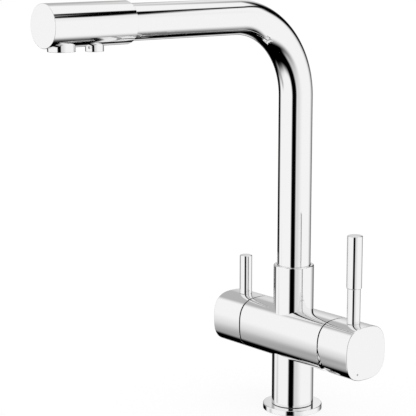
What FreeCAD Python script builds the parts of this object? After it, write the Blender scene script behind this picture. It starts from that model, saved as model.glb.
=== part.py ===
import FreeCAD, Part
import math
import os

# Three way filtered water tap, millimetres.
# +Z is up, the origin is the centre of the base flange's underside on the worktop,
# the spout points to -Y, the barrel lies along X: mixer at +X, filtered water at -X.

V = FreeCAD.Vector
UP = V(0, 0, 1)
RIGHT = V(1, 0, 0)
BACK = V(0, 1, 0)
ORIGIN = V(0, 0, 0)

same_size = 1e-6        # lengths closer than this count as equal

# Clearances
fit_gap = 0.03          # between seated pieces of one body
run_gap = 0.08          # radial, between a turning piece and its bore
slide_gap = 0.2         # each side of a piece that slides in a guide
disc_gap = 0.05         # between the two faces of a ceramic disc pair
turn_gap = 0.3          # axial, between pieces that turn against each other

# Base flange and column
flange_d = 50.0
flange_t = 4.4
flange_edge_r = 0.7
gasket_outer_d = 45.0
gasket_w = 3.5
gasket_t = 1.5
column_d = 35.3
column_wall = 3.55
column_spigot_step = 1.15   # the foot in the flange, smaller in radius than the column
column_ring_step = 0.45
column_ring_t = 0.4
column_foot_z = 0.5
stud_boss_x = 10.6
stud_boss_d = 10.4
stud_boss_h = 22.0
stud_hole_d = 6.65          # M8 tapped hole
stud_hole_depth = 18.0

# Barrel, a rounded square along X
barrel_axis_z = 66.7
barrel_across = 44.0
barrel_corner_r = 16.6
barrel_wall = 4.5           # outside the mixer's bore, at the flats
barrel_left = 43.2          # from the column's axis to the left end face
barrel_right = 51.3         # from the column's axis to the right end face
spout_boss_step = 0.5       # the boss is smaller in radius than the spout tube
spout_boss_wall = 2.5
spout_boss_h = 11.3         # above the barrel's top

# Inlet ports and waterways
inlet_block_h = 11.7        # below the barrel's underside
port_d = 8.92               # M10 x 1 tapped hole
port_depth = 9.5
mix_port_x = 2.0
mix_port_y = 7.6
filter_port_x = -7.9
mix_way_d = 5.2
mix_way_end_x = 14.0
filter_way_d = 5.0
mix_outlet_x = 8.4
mix_outlet_d = 4.4
mix_outlet_up = -9.0        # over the barrel's axis, as the other _up sizes
mix_inlet_up = 8.0
mix_chamber_up = 5.3
filter_out_x = -24.5
filter_out_d = 4.0
filter_out_start_up = 10.5
filter_out_end_up = -2.7
filter_socket_up = -5.2

# Spout
tube_d = 28.0
tube_wall = 1.5
spout_height = 333.8        # centre line of the horizontal run
bend_r = 66.8
spout_reach = 246.0         # column's axis to the head's end face
collar_wall = 2.57
collar_h = 25.4             # above the spout boss
collar_edge_r = 1.2
collar_gap = 0.35           # dark line between the collar's mouth and the tube
bush_drop = 13.4            # below the collar's top
bush_h = 7.0
bush_wall = 1.1
washer_t = 0.5
foot_rise = 8.0             # above the floor of the mixing chamber
foot_wall = 2.42
foot_spigot_h = 11.0
foot_edge = 0.8
o_ring_rise = (4.0, 9.0)    # above the foot's lower end
o_ring_section_d = 1.9
o_ring_groove_w = 2.6
retain_groove_drop = 5.0    # below the top of the spout boss
retain_groove_w = 4.4
retain_screw_d = 5.0
retain_tip_d = 3.6
retain_tip_gap = 0.35
retain_seat_depth = 1.2
retain_socket_d = 2.9
retain_socket_depth = 2.0

# Inner filtered water tube
inner_tube_d = 8.0
inner_tube_wall = 1.0
inner_tube_up = -0.1        # its lower end, over the barrel's axis
inner_tube_from_end = 48.0
inner_seal_up = 3.1
inner_seal_section_d = 1.4
inner_seal_groove_w = 1.9

# Spout head and its two outlets
head_d = 32.2
head_length = 73.0
head_wall = 2.8
head_wall_end = 3.0
head_edge_r = 0.4
head_socket = 16.0          # length of the tube inside the head
manifold_gap = 1.0          # between the manifold and the spout tube's end
manifold_slot_w = 10.0
manifold_slot_drop = 6.0
aerator_from_end = 15.5
aerator_d = 20.6
aerator_wall = 1.4
aerator_lip = 0.7
aerator_lip_h = 0.8
aerator_drop = 18.8         # below the head's centre line, as the other _drop sizes here
aerator_way_d = 13.0
filter_nozzle_from_end = 44.5
filter_nozzle_d = 13.7
filter_nozzle_wall = 1.85
filter_nozzle_drop = 20.0
filter_nozzle_way_d = 6.4
nozzle_top_drop = 9.8
nozzle_seal_t = 1.0
nozzle_edge_r = 0.3
insert_rise = 1.0           # outlet insert above the nozzle's lower rim
insert_h = 6.5
insert_hole_d = 1.6
insert_row_r = (3.0, 6.2)
insert_hole_counts = (6, 12)
filter_insert_hole_d = 1.8
filter_insert_row_r = (3.0,)
filter_insert_hole_counts = (6,)

# Mixer cartridge, along the barrel's axis
nut_step = 1.4              # the nut is larger in radius than the cartridge
cartridge_nut_t = 5.8
nut_recess = 2.1            # the nut's face inside the barrel's end
cartridge_l = 25.4          # bore from the nut's seat to its floor
port_seal_t = 0.6
port_seal_d = 8.4
port_seal_bore_d = 6.4
base_t = 4.4
base_peg_d = 2.8
base_peg_h = 2.5
base_peg_y = 13.0
disc_t = 4.0
fixed_disc_gap = 0.15       # radial, in the housing
moving_disc_step = 2.1      # the moving disc is smaller in radius than the fixed one
cup_wall = 3.05
cup_end_t = 2.3
mix_window_inner_r = 7.3
mix_window_outer_r = 11.7
mix_window_low_angle = 38.0
mix_window_high_angle = 75.0
outlet_window_d = 4.6
recess_d = 18.4
recess_depth = 2.2
recess_drop = 2.0           # centre of the recess below the moving disc's centre
closed_drop = 1.9           # moving disc below the barrel's axis when the tap is shut
carrier_plate_t = 5.2
carrier_tongue_h = 1.8
carrier_tongue_w = 11.6
carrier_tongue_l = 18.0
turret_side_gap = 0.55
turret_flange_t = 4.1
turret_neck_d = 19.6
turret_end_recess = -2.2    # the turret's end beyond the barrel's end face
turret_slot_w = 8.2
turret_slot_h = 15.2
turret_o_ring_d = 1.2
pivot_recess = 4.3          # the stem's pin inside the barrel's end face
foot_arm = 12.0             # from the pivot to the stem's ball
ball_d = 5.8
ball_clearance = 0.15
ball_floor = 0.8
ball_neck_d = 3.4
stem_blade_back = 5.0       # from the pivot back to the blade's end
stem_blade_w = 7.8
stem_blade_h = 6.4
stem_blade_front = 5.0      # from the pivot to the shank
stem_shank_w = 7.8
stem_l = 32.0               # from the pivot to the shank's end
turret_pin_d = 3.0
turret_pin_l = 18.0
nut_bore_gap = 2.2          # radial, around the turret's neck
nut_slot_w = 5.0
nut_slot_depth = 2.0
nut_slot_count = 4
dome_skirt_gap = 0.085
dome_wall = 1.2
dome_front = 15.0           # from the pivot to the dome's open front

# Mixer knob and lever
knob_gap = 1.2              # seam between the barrel and the mixer knob
knob_tilt_angle = 18.0      # slope of the knob's lower rim, and the lever's travel
mixer_knob_l = 33.1
knob_wall = 1.8
knob_end_wall = 3.6
knob_edge_r = 0.8
knob_boss_d = 15.0
knob_boss_in = 13.5         # from the knob's open rim, as the other _in sizes
lever_in = 18.3
knob_screw_in = 21.5
lever_lug_d = 13.0
lever_rod_d = 10.8
lever_stub_d = 6.0
lever_stub_l = 8.0
lever_rod_l = 28.9          # from the knob's top to the grip
grip_d = 12.5
grip_l = 43.5
grip_edge_r = 0.9
grip_tenon_d = 7.0
grip_tenon_l = 30.0
knob_screw_d = 5.0
knob_screw_l = 8.0
knob_screw_lug_d = 10.0
knob_screw_socket_d = 2.9
knob_screw_socket_depth = 3.0
mark_d = 1.6
mark_depth = 0.6
mark_y = -9.4
mark_drop = 16.1

# Filtered water valve, along the barrel's axis to the left
filter_bore_l = 23.2
seat_seal_t = 2.3
seat_seal_bore_d = 7.0
filter_disc_t = 3.0
filter_disc_d = 17.0
filter_disc_gap = 0.1       # radial, inside the headwork's cage
filter_sector_inner_r = 1.6
filter_sector_outer_r = 6.4
filter_sector_half_angle = 38.0
headwork_cage_wall = 1.0
headwork_cage_l = 13.0      # from the floor of the bore
headwork_thread_step = 2.4  # the thread is larger in radius than the cage
headwork_window_w = 7.0
headwork_window_gap = 1.0
headwork_nose_wall = 3.5
headwork_nose_l = 10.8      # out of the barrel's end
hex_step = 1.5
hex_t = 3.6
drive_plate_t = 2.8
drive_tab_w = 2.6
drive_tab_depth = 1.4
spindle_d = 9.0
spindle_end_step = 0.6
spindle_step_out = 2.0      # from the headwork's nose to the spindle's shoulder
spindle_end_l = 14.0
spindle_o_ring_in = 1.2     # inside the barrel's left end
spindle_o_ring_d = 1.1
spindle_o_ring_groove_w = 1.5
clip_t = 0.9
clip_w = 2.0
clip_groove_depth = 0.9
clip_mouth_w = 5.6
filter_knob_gap = 1.4
filter_knob_l = 33.6
filter_knob_wall = 2.4
filter_knob_end_wall = 3.4
slip_ring_step = 1.7        # the ring's edge inside the barrel's outline
slip_ring_w = 3.3
slip_ring_t = 1.1
filter_boss_d = 14.0
filter_boss_in = 12.9       # from the knob's open rim, as the other _in sizes
filter_lever_in = 16.2
filter_screw_in = 19.4
filter_lever_d = 10.7
filter_lever_l = 34.2

# Worked out: base, column and barrel
gasket_inner_d = gasket_outer_d - 2 * gasket_w
column_bore_d = column_d - 2 * column_wall
column_spigot_d = column_d - 2 * column_spigot_step
column_ring_d = column_d - 2 * column_ring_step
column_seat_z = flange_t + column_ring_t
barrel_half = barrel_across / 2
barrel_top_z = barrel_axis_z + barrel_half
barrel_bottom_z = barrel_axis_z - barrel_half
inlet_block_z = barrel_bottom_z - inlet_block_h

# Worked out: spout and its foot
tube_r = tube_d / 2
tube_bore_r = tube_r - tube_wall
spout_boss_d = tube_d - 2 * spout_boss_step
spout_boss_top_z = barrel_top_z + spout_boss_h
mix_chamber_d = spout_boss_d - 2 * spout_boss_wall
mix_chamber_floor_z = barrel_axis_z + mix_chamber_up
filter_socket_floor_z = barrel_axis_z + filter_socket_up
tube_bottom_z = spout_boss_top_z + washer_t + 2 * disc_gap
collar_mouth_d = tube_d + 2 * collar_gap
collar_d = collar_mouth_d + 2 * collar_wall
collar_top_z = spout_boss_top_z + collar_h
bush_z = collar_top_z - bush_drop
foot_bottom_z = mix_chamber_floor_z + foot_rise
foot_r = mix_chamber_d / 2 - run_gap
foot_bore_d = 2 * (foot_r - foot_wall)
foot_groove_r = foot_r - o_ring_section_d
o_ring_z = [foot_bottom_z + rise for rise in o_ring_rise]
retain_groove_z = spout_boss_top_z - retain_groove_drop
retain_tip_y = foot_groove_r + retain_tip_gap
retain_seat_r = spout_boss_d / 2 - retain_seat_depth
inner_tube_bottom_z = barrel_axis_z + inner_tube_up
inner_tube_end_y = spout_reach - inner_tube_from_end
inner_seal_z = barrel_axis_z + inner_seal_up

# Worked out: head
head_r = head_d / 2
head_back_y = head_length - spout_reach
manifold_d = head_d - 2 * head_wall
manifold_tip_y = head_wall_end + fit_gap - spout_reach
manifold_back_y = head_back_y - head_socket - manifold_gap
aerator_y = aerator_from_end - spout_reach
aerator_bore_d = aerator_d - 2 * aerator_wall
aerator_bottom_z = spout_height - aerator_drop
filter_nozzle_y = filter_nozzle_from_end - spout_reach
filter_nozzle_bore_d = filter_nozzle_d - 2 * filter_nozzle_wall
filter_nozzle_bottom_z = spout_height - filter_nozzle_drop
nozzle_top_z = spout_height - nozzle_top_drop

# Worked out: mixer
cartridge_d = barrel_across - 2 * barrel_wall
nut_d = cartridge_d + 2 * nut_step
nut_bore_d = turret_neck_d + 2 * nut_bore_gap
nut_end_x = barrel_right - nut_recess
cartridge_shoulder_x = nut_end_x - cartridge_nut_t
cartridge_floor_x = cartridge_shoulder_x - cartridge_l
cup_bore_d = cartridge_d - 2 * cup_wall
fixed_disc_d = cup_bore_d - 2 * fixed_disc_gap
moving_disc_d = fixed_disc_d - 2 * moving_disc_step
turret_flange_d = cup_bore_d - 2 * turret_side_gap
turret_end_x = barrel_right - turret_end_recess
base_x = cartridge_floor_x + port_seal_t
fixed_disc_x = base_x + base_t
moving_disc_x = fixed_disc_x + disc_t + disc_gap
carrier_x = moving_disc_x + disc_t
carrier_top_x = carrier_x + carrier_plate_t
cup_end_x = cartridge_shoulder_x - cup_end_t
turret_x = cup_end_x - slide_gap - turret_flange_t
pivot_x = barrel_right - pivot_recess
ball_x = pivot_x - foot_arm
stem_blade_x = pivot_x - stem_blade_back
stem_shank_x = pivot_x + stem_blade_front
stem_end_x = pivot_x + stem_l
dome_skirt_r = nut_d / 2 - dome_skirt_gap
dome_r = math.hypot(dome_skirt_r, pivot_recess)
mixer_knob_x = barrel_right + knob_gap
mixer_knob_end_x = mixer_knob_x + mixer_knob_l
knob_boss_x = mixer_knob_x + knob_boss_in
lever_x = mixer_knob_x + lever_in
knob_screw_x = mixer_knob_x + knob_screw_in
grip_bottom_z = barrel_top_z + lever_rod_l
grip_top_z = grip_bottom_z + grip_l

# Worked out: filtered water valve
filter_floor_x = barrel_left - filter_bore_l
headwork_inner_x = filter_floor_x + seat_seal_t
headwork_cage_x = filter_floor_x + headwork_cage_l
headwork_cage_bore_d = filter_disc_d + 2 * filter_disc_gap
headwork_cage_d = headwork_cage_bore_d + 2 * headwork_cage_wall
headwork_thread_d = headwork_cage_d + 2 * headwork_thread_step
headwork_nose_d = spindle_d + 2 * headwork_nose_wall
headwork_nose_x = barrel_left + headwork_nose_l
hex_across = headwork_thread_d + 2 * hex_step
filter_moving_d = filter_disc_d - 2 * filter_disc_gap
filter_fixed_x = headwork_inner_x + filter_disc_t
filter_moving_x = filter_fixed_x + disc_gap + filter_disc_t
drive_plate_x = filter_moving_x + drive_plate_t
spindle_end_d = spindle_d - 2 * spindle_end_step
spindle_step_x = headwork_nose_x + spindle_step_out
spindle_end_x = spindle_step_x + spindle_end_l
spindle_o_ring_x = barrel_left - spindle_o_ring_in
clip_x = headwork_nose_x + turn_gap
clip_d = spindle_d + 2 * clip_w
clip_groove_d = spindle_d - 2 * clip_groove_depth
slip_ring_outer_d = barrel_across - 2 * slip_ring_step
slip_ring_inner_d = slip_ring_outer_d - 2 * slip_ring_w
filter_knob_x = barrel_left + filter_knob_gap
filter_knob_end_x = filter_knob_x + filter_knob_l
filter_boss_x = filter_knob_x + filter_boss_in
filter_lever_x = filter_knob_x + filter_lever_in
filter_screw_x = filter_knob_x + filter_screw_in
filter_lever_top_z = barrel_top_z + filter_lever_l


def rod(diameter, start, end):
    """Round rod between two points."""
    along = end - start
    return Part.makeCylinder(diameter / 2, along.Length, start, along)


def pipe(outer_d, inner_d, start, end):
    """Straight pipe between two points."""
    return rod(outer_d, start, end).cut(rod(inner_d, start, end))


def on_barrel(x, y=0.0, up=0.0):
    """Point given by its distance along, across and above the barrel's axis."""
    return V(x, y, barrel_axis_z + up)


def box(x_span, y_span, z_span):
    """Box given by its low and high limits on each axis."""
    corner = V(x_span[0], y_span[0], z_span[0])
    size = V(x_span[1], y_span[1], z_span[1]) - corner
    return Part.makeBox(size.x, size.y, size.z, corner)


def turned(points, origin, radial, along):
    """Solid of revolution from (radius, position) points about the line along."""
    loop = [origin + radial * radius + along * place for radius, place in points]
    face = Part.Face(Part.makePolygon(loop + loop[:1]))
    return face.revolve(origin, along, 360)


def turned_upright(points):
    """Turned piece about the column's axis, from (radius, height) points."""
    return turned(points, ORIGIN, RIGHT, UP)


def turned_on_barrel(points):
    """Turned piece about the barrel's axis, from (radius, x) points."""
    return turned(points, on_barrel(0), BACK, RIGHT)


def circle_edges(shape, radius, place, axis="z"):
    """Round edges of one radius whose centre lies at one place along an axis."""
    found = []
    for edge in shape.Edges:
        curve = edge.Curve
        if not isinstance(curve, Part.Circle):
            continue
        centre = getattr(curve.Center, axis)
        same_place = abs(centre - place) < same_size
        if same_place and abs(curve.Radius - radius) < same_size:
            found.append(edge)
    return found


def rounded_square_face(x, half):
    """Face of the barrel's section at x, with four flats and four large corners."""
    reach = half - barrel_corner_r
    slant = barrel_corner_r * math.sqrt(0.5)
    edges = []
    for turn in range(4):
        start = on_barrel(x, -reach, half)
        corner_in = on_barrel(x, reach, half)
        corner_mid = on_barrel(x, reach + slant, reach + slant)
        corner_out = on_barrel(x, half, reach)
        flat = Part.makeLine(start, corner_in)
        corner = Part.Arc(corner_in, corner_mid, corner_out).toShape()
        for edge in (flat, corner):
            edge.rotate(on_barrel(x), RIGHT, -90 * turn)
            edges.append(edge)
    return Part.Face(Part.Wire(Part.__sortEdges__(edges)))


def barrel_prism(x_from, x_to):
    """Rounded square bar along the barrel's axis."""
    return rounded_square_face(x_from, barrel_half).extrude(RIGHT * (x_to - x_from))


def sector(x, thickness, inner_r, outer_r, angle_from, angle_to):
    """Ring sector across the barrel's axis, angles from +Y towards +Z."""
    ring = pipe(2 * outer_r, 2 * inner_r, on_barrel(x), on_barrel(x + thickness))
    reach = 2 * outer_r
    corners = [on_barrel(x)]
    for degrees in (angle_from, (angle_from + angle_to) / 2, angle_to):
        angle = math.radians(degrees)
        corners.append(on_barrel(x, reach * math.cos(angle), reach * math.sin(angle)))
    wedge = Part.Face(Part.makePolygon(corners + corners[:1]))
    return ring.common(wedge.extrude(RIGHT * thickness))


def o_ring(centre, radial, along, inner_d, section_d):
    """Rubber ring of eight-sided section about the line along."""
    section_r = section_d / 2
    middle_r = inner_d / 2 + section_r
    points = []
    for index in range(8):
        angle = math.radians(45 * index)
        points.append((middle_r + section_r * math.cos(angle), section_r * math.sin(angle)))
    return turned(points, centre, radial, along)


# --- Base and column ---

def base_flange():
    """Round foot on the worktop, with a recess below for its gasket."""
    ring = pipe(flange_d, column_spigot_d + 2 * fit_gap, ORIGIN, UP * flange_t)
    ring = ring.makeFillet(flange_edge_r, circle_edges(ring, flange_d / 2, flange_t))
    return ring.cut(pipe(gasket_outer_d, gasket_inner_d, ORIGIN, UP * gasket_t))


def base_gasket():
    """Rubber ring in the recess under the base flange."""
    outer_d = gasket_outer_d - 2 * fit_gap
    inner_d = gasket_inner_d + 2 * fit_gap
    return pipe(outer_d, inner_d, ORIGIN, UP * (gasket_t - fit_gap))


def column_ring():
    """Thin dark ring in the seam between the flange and the column."""
    inner_d = column_spigot_d + 2 * fit_gap
    return pipe(column_ring_d, inner_d, UP * flange_t, UP * column_seat_z)


def base_column():
    """Short tube from the base flange to the underside of the barrel."""
    bore_end = UP * barrel_axis_z
    wall = rod(column_d, UP * column_seat_z, bore_end)
    wall = wall.fuse(rod(column_spigot_d, UP * column_foot_z, UP * column_seat_z))
    wall = wall.cut(rod(column_bore_d, UP * column_foot_z, bore_end))
    return wall.cut(barrel_prism(-column_d, column_d))


def stud_boss():
    """Boss inside the column's foot with the tapped hole for the fixing stud."""
    half_w = stud_boss_d / 2
    bore_d = column_bore_d - 2 * fit_gap
    foot = V(stud_boss_x, 0, column_foot_z)
    top = foot + UP * stud_boss_h
    boss = rod(stud_boss_d, foot, top)
    boss = boss.fuse(box((stud_boss_x, column_d), (-half_w, half_w), (foot.z, top.z)))
    boss = boss.common(rod(bore_d, UP * column_foot_z, UP * top.z))
    return boss.cut(rod(stud_hole_d, foot, foot + UP * stud_hole_depth))


# --- Valve body ---

def inlet_ports():
    """Three tapped holes for the hot, cold and filtered water hoses."""
    places = [(mix_port_x, -mix_port_y), (mix_port_x, mix_port_y), (filter_port_x, 0)]
    mouths = [V(x, y, inlet_block_z) for x, y in places]
    return [rod(port_d, mouth, mouth + UP * port_depth) for mouth in mouths]


def mixer_waterways():
    """Drilled ways from the hot and cold ports to the mixer and on to the spout."""
    cuts = []
    port_end_z = inlet_block_z + port_depth
    for side in (-1, 1):
        y = side * mix_port_y
        start = V(mix_port_x, y, port_end_z - mix_way_d / 2)
        corner = on_barrel(mix_way_end_x, y, mix_inlet_up)
        cuts.append(rod(mix_way_d, start, corner))
        cuts.append(rod(mix_way_d, corner, on_barrel(cartridge_floor_x, y, mix_inlet_up)))
    turn = on_barrel(mix_outlet_x, 0, mix_outlet_up)
    cuts.append(rod(mix_outlet_d, on_barrel(cartridge_floor_x, 0, mix_outlet_up), turn))
    cuts.append(rod(mix_outlet_d, turn, V(mix_outlet_x, 0, mix_chamber_floor_z)))
    return cuts


def filter_waterways():
    """Drilled ways from the filtered water port to its valve and on to the spout."""
    port_end = V(filter_port_x, 0, inlet_block_z + port_depth)
    rise = filter_floor_x + filter_port_x
    corner = on_barrel(filter_port_x, 0, -rise)
    seat = on_barrel(-filter_floor_x, 0, 0)
    leave = on_barrel(filter_out_x, 0, filter_out_start_up)
    arrive = on_barrel(0, 0, filter_out_end_up)
    return [
        rod(filter_way_d, port_end, corner),
        rod(filter_way_d, corner, seat),
        rod(filter_out_d, leave, arrive),
    ]


def inlet_block():
    """Brass block in the top of the column that takes the three hoses."""
    block = rod(column_bore_d - 2 * fit_gap, UP * inlet_block_z, UP * barrel_axis_z)
    block = block.cut(barrel_prism(-column_d, column_d))
    return block.cut(inlet_ports() + mixer_waterways() + filter_waterways())


def valve_body():
    """Barrel with the mixer cartridge to the right and the filter valve to the left."""
    body = barrel_prism(-barrel_left, barrel_right)
    body = body.fuse(rod(spout_boss_d, UP * barrel_axis_z, UP * spout_boss_top_z))
    socket_d = inner_tube_d + 2 * run_gap
    groove_d = socket_d + 2 * inner_seal_section_d
    groove_from = UP * (inner_seal_z - inner_seal_groove_w / 2)
    groove_to = UP * (inner_seal_z + inner_seal_groove_w / 2)
    peg_hole_d = base_peg_d + 2 * fit_gap
    peg_floor_x = cartridge_floor_x - base_peg_h - fit_gap
    retain_hole_end = V(0, spout_boss_d, retain_groove_z)
    cuts = [
        rod(cartridge_d + 2 * fit_gap, on_barrel(cartridge_floor_x), on_barrel(barrel_right)),
        rod(nut_d + 2 * fit_gap, on_barrel(cartridge_shoulder_x), on_barrel(barrel_right)),
        rod(headwork_thread_d, on_barrel(-filter_floor_x), on_barrel(-barrel_left)),
        rod(mix_chamber_d, UP * mix_chamber_floor_z, UP * spout_boss_top_z),
        rod(socket_d, UP * filter_socket_floor_z, UP * mix_chamber_floor_z),
        rod(groove_d, groove_from, groove_to),
        rod(retain_screw_d, UP * retain_groove_z, retain_hole_end),
    ]
    for side in (-1, 1):
        y = side * base_peg_y
        cuts.append(rod(peg_hole_d, on_barrel(peg_floor_x, y), on_barrel(cartridge_floor_x, y)))
    cuts += mixer_waterways() + filter_waterways()
    return body.cut(cuts)


# --- Spout socket ---

def spout_collar():
    """Sleeve on top of the barrel that guides the foot of the spout."""
    collar = rod(collar_d, UP * barrel_axis_z, UP * collar_top_z)
    collar = collar.makeFillet(collar_edge_r, circle_edges(collar, collar_d / 2, collar_top_z))
    cuts = [
        barrel_prism(-collar_d, collar_d),
        rod(spout_boss_d + 2 * fit_gap, UP * barrel_axis_z, UP * spout_boss_top_z),
        rod(collar_mouth_d, UP * spout_boss_top_z, UP * collar_top_z),
        rod(collar_mouth_d + 2 * bush_wall, UP * bush_z, UP * (bush_z + bush_h)),
        rod(retain_screw_d, UP * retain_groove_z, V(0, collar_d, retain_groove_z)),
    ]
    return collar.cut(cuts)


def collar_bush():
    """Plastic bearing ring inside the collar."""
    outer_d = collar_mouth_d + 2 * bush_wall - 2 * fit_gap
    inner_d = tube_d + 2 * run_gap
    return pipe(outer_d, inner_d, UP * (bush_z + fit_gap), UP * (bush_z + bush_h - fit_gap))


def spout_slide_washer():
    """Plastic washer that the spout tube turns on."""
    inner_d = mix_chamber_d + slide_gap
    outer_d = spout_boss_d - slide_gap
    low = UP * (spout_boss_top_z + disc_gap)
    return pipe(outer_d, inner_d, low, low + UP * washer_t)


def spout_retaining_screw():
    """Rear grub screw whose tip runs in the groove of the spout foot."""
    seat = V(0, retain_seat_r, retain_groove_z)
    head = V(0, collar_d / 2 - collar_gap, retain_groove_z)
    screw = rod(retain_screw_d - 2 * fit_gap, seat, head)
    screw = screw.fuse(rod(retain_tip_d, V(0, retain_tip_y, retain_groove_z), seat))
    socket = rod(retain_socket_d, head - BACK * retain_socket_depth, head)
    return screw.cut(socket)


# --- Spout ---

def spout_foot():
    """Brass plug in the end of the spout tube, with two O-ring grooves."""
    spigot_top_z = tube_bottom_z + foot_spigot_h
    points = [(foot_bore_d / 2, foot_bottom_z),
              (foot_r - foot_edge, foot_bottom_z),
              (foot_r, foot_bottom_z + foot_edge)]
    grooves = [(z, o_ring_groove_w) for z in o_ring_z] + [(retain_groove_z, retain_groove_w)]
    for z, width in grooves:
        points += [(foot_r, z - width / 2), (foot_groove_r, z - width / 2),
                   (foot_groove_r, z + width / 2), (foot_r, z + width / 2)]
    spigot_r = tube_bore_r - fit_gap
    points += [(foot_r, tube_bottom_z), (spigot_r, tube_bottom_z),
               (spigot_r, spigot_top_z), (foot_bore_d / 2, spigot_top_z)]
    return turned_upright(points)


def spout_o_rings():
    """Rubber rings that seal the spout foot in its chamber."""
    inner_d = 2 * (foot_groove_r + fit_gap)
    section_d = foot_r - foot_groove_r - fit_gap
    rings = [o_ring(UP * z, RIGHT, UP, inner_d, section_d) for z in o_ring_z]
    return Part.makeCompound(rings)


def bent_pipe(outer_d, wall, bottom_z, end_y):
    """Pipe that rises on the column's axis, bends and runs out over the sink."""
    bend_z = spout_height - bend_r
    outer = Part.Wire(Part.makeCircle(outer_d / 2, UP * bottom_z, UP))
    inner = Part.Wire(Part.makeCircle(outer_d / 2 - wall, UP * bottom_z, UP))
    ring = Part.Face(outer).cut(Part.Face(inner)).Faces[0]
    riser = ring.extrude(UP * (bend_z - bottom_z))
    top_ring = ring.translated(UP * (bend_z - bottom_z))
    bend = top_ring.revolve(V(0, -bend_r, bend_z), RIGHT, 90)
    start = V(0, -bend_r, spout_height)
    run = pipe(outer_d, outer_d - 2 * wall, start, V(0, -end_y, spout_height))
    return riser.fuse([bend, run]).removeSplitter()


def spout_tube():
    """Outer spout tube, which carries the mixed water."""
    end_y = -head_back_y + head_socket
    return bent_pipe(tube_d, tube_wall, tube_bottom_z, end_y)


def filter_tube():
    """Inner tube, which keeps the filtered water apart from the mixed water."""
    return bent_pipe(inner_tube_d, inner_tube_wall, inner_tube_bottom_z, inner_tube_end_y)


def filter_tube_seal():
    """Rubber ring around the foot of the inner tube."""
    inner_d = inner_tube_d + run_gap
    return o_ring(UP * inner_seal_z, RIGHT, UP, inner_d, inner_seal_section_d)


def spout_head():
    """Thicker cylinder at the end of the spout with two outlets below."""
    tip = V(0, -spout_reach, spout_height)
    back = V(0, head_back_y, spout_height)
    head = rod(head_d, tip, back)
    head = head.makeFillet(head_edge_r, circle_edges(head, head_r, -spout_reach, "y"))
    chamber = V(0, head_wall_end - spout_reach, spout_height)
    tube_stop = V(0, head_back_y - head_socket, spout_height)
    cuts = [
        rod(manifold_d + 2 * fit_gap, chamber, back),
        rod(tube_d + 2 * fit_gap, tube_stop, back),
    ]
    for y, diameter in ((aerator_y, aerator_d), (filter_nozzle_y, filter_nozzle_d)):
        low = V(0, y, spout_height - head_r)
        cuts.append(rod(diameter + 2 * fit_gap, low, low + UP * head_r))
    return head.cut(cuts)


def head_manifold():
    """Plastic block in the head that leads each water to its own outlet."""
    tip = V(0, manifold_tip_y, spout_height)
    back = V(0, manifold_back_y, spout_height)
    body = rod(manifold_d, tip, back)
    manifold_r = manifold_d / 2
    slot_half = manifold_slot_w / 2
    slot_floor_z = spout_height + manifold_r - manifold_slot_drop
    slot_tip_y = aerator_y - slot_half
    slot = box((-slot_half, slot_half), (slot_tip_y, manifold_back_y),
               (slot_floor_z, spout_height + manifold_r))
    socket_top_z = nozzle_top_z + fit_gap
    tube_stop = V(0, -inner_tube_end_y - fit_gap, spout_height)
    way_turn = V(0, filter_nozzle_y, spout_height)
    way_outlet = V(0, filter_nozzle_y, socket_top_z)
    cuts = [
        slot,
        rod(aerator_way_d, V(0, aerator_y, socket_top_z), V(0, aerator_y, slot_floor_z)),
        rod(inner_tube_d + 2 * fit_gap, tube_stop, back),
        rod(filter_nozzle_way_d, way_turn, tube_stop),
        rod(filter_nozzle_way_d, way_outlet, way_turn),
    ]
    for y, diameter in ((aerator_y, aerator_d), (filter_nozzle_y, filter_nozzle_d)):
        low = V(0, y, spout_height - head_r)
        cuts.append(rod(diameter + 2 * fit_gap, low, V(0, y, socket_top_z)))
    return body.cut(cuts)


def aerator_ring():
    """Chromed ring of the mixed water outlet, with a small inner lip."""
    low = V(0, aerator_y, aerator_bottom_z)
    top = V(0, aerator_y, nozzle_top_z)
    ring = rod(aerator_d, low, top)
    ring = ring.makeFillet(nozzle_edge_r, circle_edges(ring, aerator_d / 2, aerator_bottom_z))
    ring = ring.cut(rod(aerator_bore_d - 2 * aerator_lip, low, top))
    return ring.cut(rod(aerator_bore_d, low + UP * aerator_lip_h, top))


def filter_nozzle():
    """Chromed ring of the filtered water outlet."""
    low = V(0, filter_nozzle_y, filter_nozzle_bottom_z)
    top = V(0, filter_nozzle_y, nozzle_top_z)
    ring = rod(filter_nozzle_d, low, top)
    rim = circle_edges(ring, filter_nozzle_d / 2, filter_nozzle_bottom_z)
    ring = ring.makeFillet(nozzle_edge_r, rim)
    return ring.cut(rod(filter_nozzle_bore_d, low, top))


def outlet_insert(low, outer_d, hole_d, radii, counts):
    """Plastic outlet insert with rings of straight holes."""
    insert = rod(outer_d, low, low + UP * insert_h)
    holes = [rod(hole_d, low, low + UP * insert_h)]
    for row_r, count in zip(radii, counts):
        for index in range(count):
            angle = 2 * math.pi * index / count
            place = low + V(row_r * math.cos(angle), row_r * math.sin(angle), 0)
            holes.append(rod(hole_d, place, place + UP * insert_h))
    return insert.cut(holes)


def aerator_insert():
    """Plastic grid of the mixed water outlet."""
    low = V(0, aerator_y, aerator_bottom_z + insert_rise)
    outer_d = aerator_bore_d - 2 * fit_gap
    return outlet_insert(low, outer_d, insert_hole_d, insert_row_r, insert_hole_counts)


def filter_nozzle_insert():
    """Plastic grid of the filtered water outlet."""
    low = V(0, filter_nozzle_y, filter_nozzle_bottom_z + insert_rise)
    outer_d = filter_nozzle_bore_d - 2 * fit_gap
    return outlet_insert(low, outer_d, filter_insert_hole_d, filter_insert_row_r,
                         filter_insert_hole_counts)


def nozzle_seal(y, outer_d, inner_d):
    """Flat rubber ring in the top of an outlet's bore."""
    top = V(0, y, nozzle_top_z)
    return pipe(outer_d - 2 * fit_gap, inner_d, top - UP * nozzle_seal_t, top)


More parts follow.
